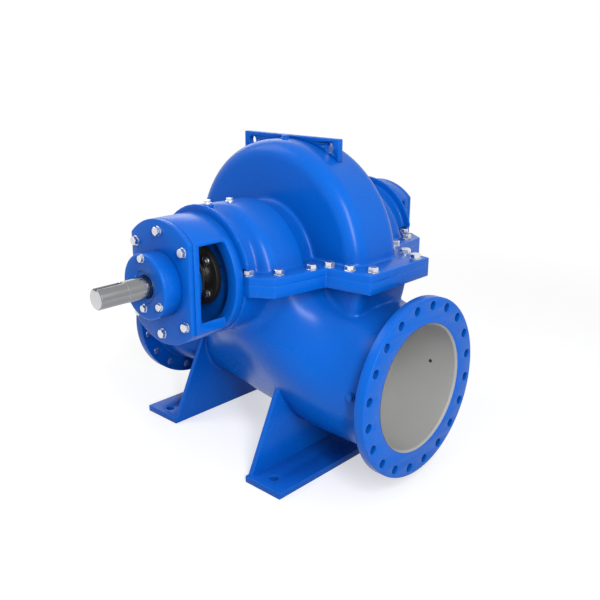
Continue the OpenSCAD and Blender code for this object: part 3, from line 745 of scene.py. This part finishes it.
bellyLoft = loftOf(branchPoints(pump["sucNeck"], lower["flareY"], pump["sucNeckIn"]) + melonPoints()
                   + throatPoints(pump["throatLow"]), *lower["bellyRun"], lower["bellyLine"])
branchLoft = loftOf(branchPoints(pump["disNeck"], pump["disNeckIn"], lower["branchRun"][1])
                    + throatPoints(pump["throatLow"]) + throatPoints(pump["throatTop"]),
                    *lower["branchRun"], lower["branchLine"])
print("belly lofted")


def webOutline(foot, inset=0.0):
    base = lower["webBase"]
    return [(-foot["webFoot"] + inset, base), (foot["webFoot"] - inset, base),
            (foot["webTop"] - inset, foot["topZ"] - inset), (-foot["webTop"] + inset, foot["topZ"] - inset)]


def bellyField(p):
    f = loftField(p, bellyLoft)
    flat = np.interp(p[1], lower["crownY"], lower["crownZ"])
    top = roundUnion(np.maximum(p[2] - flat, p[1]), np.hypot(p[1], p[2] - lower["domeZ"]) - lower["domeR"],
                     lower["topFillet"])
    side = loftField((p[0], p[1], np.minimum(p[2], lower["sideZ"])), bellyLoft)
    side = np.minimum(side, np.abs(p[0]) - np.interp(p[1], lower["shoulderY"], lower["saddleHalf"]))
    ease = np.interp(p[1], lower["shoulderY"], lower["shoulder"])
    crown = np.maximum(boxed(top, side, ease), lower["topLow"] - p[2])
    f = roundUnion(f, crown, lower["topBlend"])
    return roundUnion(f, loftField(p, branchLoft), lower["branchBlend"])


softBelly = softened(bellyField, *lower["softBox"], lower["soft"])
print("belly eased")


def splitPlate(p, middle, thick, sunk):  # the split flange, a little inside its slab
    return np.maximum(outlineField(p[0], p[1], splitOutline(sunk)), np.abs(p[2] - middle) - thick / 2 + sunk)


def lowerField(p):
    sunk, back = lower["sunk"], lower["behindFace"]
    f = softBelly(p)
    f = np.maximum(f, np.maximum(pump["sucFace"] + back - p[1], p[1] - pump["disFace"] + back))
    neck = drumField(p, lower["neckR"], pump["seatX"] - 1.0, lower["neckRound"], 0.0, pump["axisZ"])
    f = roundUnion(f, neck, lower["neckBlend"])
    f = roundUnion(f, drumField(p, lower["voluteR"], lower["voluteHalf"], lower["voluteRound"], lower["voluteY"],
                                pump["axisZ"]), lower["voluteBlend"])
    for foot in lower["feet"]:
        middle = foot["inner"] + foot["way"] * lower["webThick"] / 2
        web = np.maximum(outlineField(p[0], p[2], webOutline(foot, sunk)),
                         np.abs(p[1] - middle) - lower["webThick"] / 2 + sunk)
        f = roundUnion(f, web, lower["webBlend"])
    plate = splitPlate(p, pump["axisZ"] - pump["splitLow"] / 2, pump["splitLow"], sunk)
    f = roundUnion(f, plate, lower["plateBlend"])
    for face, thick, rad, way in ((pump["sucFace"], pump["sucThick"], pump["sucNeck"] + lower["flangeBlend"], 1),
                                  (pump["disFace"], pump["disThick"], pump["disNeck"] + lower["flangeBlend"], -1)):
        ends = sorted((face + way * sunk, face + way * (thick - sunk)))
        f = roundUnion(f, pipeField(p, rad, ends[0], ends[1], 1.0, pump["pipeZ"]), lower["flangeBlend"])
    f = np.maximum(f, p[2] - pump["axisZ"] + 1.0)
    room, past = lower["boreRoom"], lower["borePast"]
    f = np.maximum(f, -pipeField(p, pump["sucBore"] + room, pump["sucFace"] - past, lower["sucBoreEnd"],
                                 lower["sucBoreRound"], pump["pipeZ"]))
    return np.maximum(f, -pipeField(p, pump["disBore"] + room, lower["disBoreEnd"], pump["disFace"] + past,
                                    lower["disBoreRound"], pump["pipeZ"]))


def flangeDisc(face, thick, rad, bore, pitch, hole, holes, way):
    spots = [((i + 0.5) * 2 * math.pi / holes) for i in range(holes)]
    rings = [circle(0, 0, bore, skin["boreSides"])]
    rings += [circle(pitch * math.cos(a), pitch * math.sin(a), hole, skin["holeSides"]) for a in spots]
    middle = face + way * thick / 2
    return holedPlate(circle(0, 0, rad, skin["rimSides"]), rings, thick, lower["flangeEase"],
                      lambda u, v, w: (u, middle + w, pump["pipeZ"] + v))


def makeLowerCasing():
    verts, faces = meshFromField(lowerField, *lower["skinBox"], lower["cell"])
    inFace = lower["skinFace"]
    verts[:, 1] = np.clip(verts[:, 1], pump["sucFace"] + inFace, pump["disFace"] - inFace)
    print("lower skin", len(verts), len(faces))
    plate = slab(easeCorners(splitOutline(), pump["splitCorner"]), pump["axisZ"] - pump["splitLow"], pump["axisZ"],
                 pump["splitEase"], pump["splitJoint"])
    parts = [(verts, faces), plate]
    for end, way in (("suc", 1), ("dis", -1)):
        face, thick, rad, bore, pitch, hole, holes = (
            pump[end + key] for key in ("Face", "Thick", "Rad", "Bore", "Pitch", "Hole", "Holes"))
        parts.append(flangeDisc(face, thick, rad, bore + pump["boreChamfer"], pitch, hole, holes, way))
    for foot in lower["feet"]:
        way, middle = foot["way"], foot["inner"] + foot["way"] * lower["webThick"] / 2
        web = slab(easeCorners(webOutline(foot), lower["webCorner"]), -lower["webThick"] / 2,
                   lower["webThick"] / 2, lower["webEase"], lower["webEase"])
        parts.append(([(x, middle + w, z) for x, z, w in web[0]], web[1]))
        mid = foot["inner"] + way * foot["deep"] / 2
        mid, deep = mid + way * lower["footTrim"], foot["deep"] - 2 * lower["footTrim"]
        ring = easeCorners([(-foot["half"], mid - deep / 2), (foot["half"], mid - deep / 2),
                            (foot["half"], mid + deep / 2), (-foot["half"], mid + deep / 2)], lower["footCorner"])
        holes = [circle(s * foot["hole"], mid, lower["footHole"], skin["holeSides"]) for s in (-1, 1)]
        parts.append(holedPlate(ring, holes, lower["footThick"], lower["footEase"],
                                lambda u, v, w: (u, v, w + lower["footThick"] / 2)))
    piece = buildPiece("lowerCasing", parts, finishes["casing_paint"])
    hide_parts("lower_casing")


makeLowerCasing()
print("lower casing made")

# upper casing: volute crown, domes, necks and hoods
upper = {
    "cell": 7.0, "skinBox": ((-512, -572, 842), (512, 572, 1328)),
    "voluteR": 463.0, "voluteHalf": 138.0, "voluteRound": 68.0, "voluteY": 4.0,
    "valleyR": 244.0, "valleyHalf": 300.0, "valleyRound": 10.0, "valleyBlend": 20.0,
    "domeR": 284.0, "domeIn": 230.0, "domeOut": 425.0, "domeRound": 60.0, "domeInRound": 5.0, "domeZ": 816.0,
    "domeBlend": 8.0, "neckR": 223.0, "neckRound": 5.0, "neckBlend": 18.0,
    "hoodR": 257.0, "hoodIn": 484.0, "hoodRound": 5.0, "hoodLow": 906.0, "hoodLowRound": 4.0, "hoodBlend": 12.0,
    "padX": 462.0, "padR": 24.0, "padRound": 2.0, "padBlend": 8.0,
    "pocketR": 22.6, "pocketTop": 902.0, "pocketX": 474.0, "pocketY": 230.0, "pocketRound": 6.0,
    "pocketBlend": 5.0, "plateBlend": 12.0, "sunk": 2.0,
}


def upperField(p):
    f = drumField(p, upper["voluteR"], upper["voluteHalf"], upper["voluteRound"], upper["voluteY"], pump["axisZ"])
    valley = drumField(p, upper["valleyR"], upper["valleyHalf"], upper["valleyRound"], 0.0, upper["domeZ"])
    f = roundUnion(f, valley, upper["valleyBlend"])
    middle = (upper["domeIn"] + upper["domeOut"]) / 2
    ease = np.where(np.abs(p[0]) > middle, upper["domeRound"], upper["domeInRound"])
    dome = bandField(p, upper["domeR"], upper["domeIn"], upper["domeOut"], ease, 0.0, upper["domeZ"])
    f = roundUnion(f, dome, upper["domeBlend"])
    neck = drumField(p, upper["neckR"], pump["seatX"] - 1.0, upper["neckRound"], 0.0, pump["axisZ"])
    f = roundUnion(f, neck, upper["neckBlend"])
    hood = bandField(p, upper["hoodR"], upper["hoodIn"], pump["seatX"] - 0.5, upper["hoodRound"],
                     0.0, pump["axisZ"])
    f = roundUnion(f, boxed(hood, upper["hoodLow"] - p[2], upper["hoodLowRound"]), upper["hoodBlend"])
    pad = boxed(np.hypot(np.abs(p[0]) - upper["padX"], p[1]) - upper["padR"],
                p[2] - pump["axisZ"] - upper["hoodR"], upper["padRound"])
    f = roundUnion(f, pad, upper["padBlend"])
    pocket = boxed(np.hypot(np.abs(p[0]) - upper["pocketX"], np.abs(p[1]) - upper["pocketY"]) - upper["pocketR"],
                   p[2] - upper["pocketTop"], upper["pocketRound"])
    f = -roundUnion(-f, pocket, upper["pocketBlend"])
    plate = splitPlate(p, pump["axisZ"] + pump["splitUp"] / 2, pump["splitUp"], upper["sunk"])
    f = roundUnion(f, plate, upper["plateBlend"])
    return np.maximum(f, pump["axisZ"] + 1.0 - p[2])


def makeUpperCasing():
    verts, faces = meshFromField(upperField, *upper["skinBox"], upper["cell"])
    print("upper skin", len(verts), len(faces))
    plate = slab(easeCorners(splitOutline(), pump["splitCorner"]), pump["axisZ"], pump["axisZ"] + pump["splitUp"],
                 pump["splitJoint"], pump["splitEase"])
    piece = buildPiece("upperCasing", [(verts, faces), plate], finishes["casing_paint"])
    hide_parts("upper_casing")


makeUpperCasing()
print("upper casing made")

# bored linings of the two branches
lining = {"lip": 0.3, "land": 2.0, "dish": 44.0, "sucDeep": 330.0, "sucEndR": 236.0,
          "disDeep": 76.0, "disEndR": 188.0}


def makeLining(name, face, way, bore, deep, endR):
    c, land = pump["boreChamfer"], lining["land"]
    profile = [(bore + c, face + way * lining["lip"]), (bore + c * 0.2, face + way * c),
               (bore, face + way * (c + land))]
    for k in range(9):
        t = k / 8.0
        profile.append((bore + (endR - bore) * t * t, face + way * (c + land + (deep - c - land) * t)))
    for k in range(1, 7):
        a = math.radians(15.0 * k)
        profile.append((max(endR * math.cos(a), 0.5), face + way * (deep + lining["dish"] * math.sin(a))))
    buildPiece(name, [turnedY(profile, pump["pipeZ"])], bareIron, turnOut=False)


makeLining("suctionLining", pump["sucFace"], 1, pump["sucBore"], lining["sucDeep"], lining["sucEndR"])
makeLining("dischargeLining", pump["disFace"], -1, pump["disBore"], lining["disDeep"], lining["disEndR"])
print("linings made")

# small pressure tapping on the wall of the suction bore: a black boss whose flat dark centre is painted shade in
# place of the open hole
tapping = {"x": 248.8, "y": -549.7, "z": 424.8, "sides": 24,
           "profile": [(8.0, 0.0), (8.0, 1.2), (6.8, 1.8), (5.6, 0.9), (0.4, 0.9)]}


def makeTapping():
    verts, n = [], tapping["sides"]
    for r, rise in tapping["profile"]:
        verts += [(tapping["x"] - rise, tapping["y"] + u, tapping["z"] + v) for u, v in circle(0, 0, r, n)]
    faces = bandFaces(len(tapping["profile"]), n) + [tuple(range(len(verts) - n, len(verts)))]
    buildPiece("boreTapping", [(verts, faces)], finishes["seal_black"])


makeTapping()
print("tapping made")

# the other nodes keep their solids, with eased edges and a finish
slotOf = {row["node"]: row["material_slot"] for row in frame["record"]["subparts"]}
slotOf["vent_plug"] = "casing_paint"  # painted over in the photograph
edgeOf = {"casing_paint": 0.003, "bracket_paint": 0.004, "seal_black": 0.0015, "plug_steel": 0.001}
dressing = {"weld": 0.00002, "edge": 0.0008, "segments": 2, "edgeAngle": 32.0}


def dressNode(name):
    piece = nodes[name]
    piece.data.materials.clear()
    piece.data.materials.append(finishes[slotOf[name]])
    weld = piece.modifiers.new("joinSeams", "WELD")
    weld.merge_threshold = dressing["weld"]
    bevel = piece.modifiers.new("easedEdges", "BEVEL")
    bevel.width, bevel.segments = edgeOf.get(slotOf[name], dressing["edge"]), dressing["segments"]
    bevel.limit_method, bevel.angle_limit = "ANGLE", math.radians(dressing["edgeAngle"])
    for face in piece.data.polygons:
        face.use_smooth = True


for nodeName in nodes:
    if nodeName not in ("lower_casing", "upper_casing"):
        dressNode(nodeName)
print("nodes dressed")


# bolts: hex heads with a chamfered crown on a washer
boltHead = {"sides": 24, "sunk": 0.001, "seat": 0.40, "foot": 0.49, "crown": 0.475, "crownInner": 0.55,
            "crownSlope": 0.58, "crownDrop": 0.0004, "footRise": 0.0006, "flankRise": 0.0016, "seatSunk": 0.0002,
            "washerEase": 0.25}  # seat, foot and crown are shares of the flats; rises, drops and sunk are metres


def boltRing(bm, place, across, out, spin, radiusAt, heightAt):
    ring = []
    for i in range(boltHead["sides"]):
        a = 2 * math.pi * i / boltHead["sides"]
        r = radiusAt(a)
        flat = across * (r * math.cos(a + spin)) + out.cross(across) * (r * math.sin(a + spin))
        ring.append(bm.verts.new(place + flat + out * heightAt(r)))
    return ring


def bridge(bm, low, high):
    for i in range(len(low)):
        j = (i + 1) % len(low)
        bm.faces.new((low[i], low[j], high[j], high[i]))


def hexBolt(bm, place, out, flats, height, washer, washerThick, spin=0.0):
    out = Vector(out).normalized()
    across = out.orthogonal().normalized()
    place = Vector(place) - out * boltHead["sunk"]  # sunk a little, so it sits on its face
    edge, top = washerThick * boltHead["washerEase"], washerThick + boltHead["sunk"]
    seat, foot, crown = (flats * boltHead[key] for key in ("seat", "foot", "crown"))

    def hexAt(a):
        return flats / 2 / math.cos((a % (math.pi / 3)) - math.pi / 6)

    def crownAt(r):
        return top + height - max(0.0, r - crown) * boltHead["crownSlope"] - boltHead["crownDrop"]

    def ring(radius, rise):
        return boltRing(bm, place, across, out, spin, radius if callable(radius) else lambda a: radius,
                        rise if callable(rise) else lambda r: rise)

    washerRings = [ring(washer, 0.0), ring(washer, top - edge), ring(washer - edge, top), ring(seat, top)]
    headRings = [
        ring(seat, top - boltHead["seatSunk"]),
        ring(lambda a: min(hexAt(a), foot), top + boltHead["footRise"]),
        ring(hexAt, top + boltHead["flankRise"]),
        ring(hexAt, crownAt),
        ring(lambda a: min(hexAt(a), crown), top + height),
        ring(crown * boltHead["crownInner"], top + height),
    ]
    for group in (washerRings, headRings):
        for low, high in zip(group, group[1:]):
            bridge(bm, low, high)
        bm.faces.new(list(reversed(group[0])))
        bm.faces.new(group[-1])


def boltPiece(name, rows):
    bm = bmesh.new()
    for row in rows:
        hexBolt(bm, **row)
    mesh = bpy.data.meshes.new(name)
    bm.to_mesh(mesh)
    bm.free()
    mesh.materials.append(finishes["plug_steel"])
    piece = bpy.data.objects.new(name, mesh)
    scene.collection.objects.link(piece)
    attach(piece, "casing")


splitBolts = {"flats": 0.036, "height": 0.016, "washer": 0.022, "washerThick": 0.004,
              "spots": [(474, 230), (392, 300), (258, 338), (187, 364), (175, 451), (134, 528)]}
housingBolts = {"flats": 0.030, "height": 0.013, "washer": 0.0185, "washerThick": 0.003, "circle": 191,
                "angles": [45, 90, 135, 225, 270, 315], "faces": [(-690, -1), (612, 1)]}
coverBolts = {"flats": 0.024, "height": 0.010, "washer": 0.015, "washerThick": 0.0025, "circle": 105,
              "angles": [90, 210, 330], "faces": [(-765, -1), (646, 1)]}
drainBolts = {"flats": 0.024, "height": 0.010, "washer": 0.015, "washerThick": 0.0025, "circle": 77,
              "angles": [270], "faces": [(-765, -1), (646, 1)]}
glandBolts = {"flats": 0.024, "height": 0.012, "washer": 0.015, "washerThick": 0.0025, "circle": 90,
              "angles": [45, 135, 225, 315], "faces": [(-527, -1), (527, 1)]}


def spot(x, y, z):
    return (origin.x + x / 1000.0, origin.y + y / 1000.0, z / 1000.0)


def sized(row):
    return {k: row[k] for k in ("flats", "height", "washer", "washerThick")}


def makeBolts():
    rows = []
    top = pump["axisZ"] + pump["splitUp"]
    for i, (x, y) in enumerate(splitBolts["spots"]):
        for sx in (-1, 1):
            for sy in (-1, 1):
                rows.append({"place": spot(sx * x, sy * y, top), "out": (0, 0, 1),
                             "spin": 0.37 * (i + 1) + 0.9 * sx + 0.4 * sy, **sized(splitBolts)})
    boltPiece("splitFlangeBolts", rows)
    for name, table in (("housingBolts", housingBolts), ("coverBolts", coverBolts),
                        ("drainPlugs", drainBolts), ("glandBolts", glandBolts)):
        rows = []
        for x, way in table["faces"]:
            for i, angle in enumerate(table["angles"]):
                a = math.radians(angle)
                y, z = table["circle"] * math.cos(a), table["circle"] * math.sin(a)
                rows.append({"place": spot(x, y, pump["axisZ"] + z), "out": (way, 0, 0), "spin": 0.5 * i + way,
                             **sized(table)})
        boltPiece(name, rows)


makeBolts()
print("bolts made")
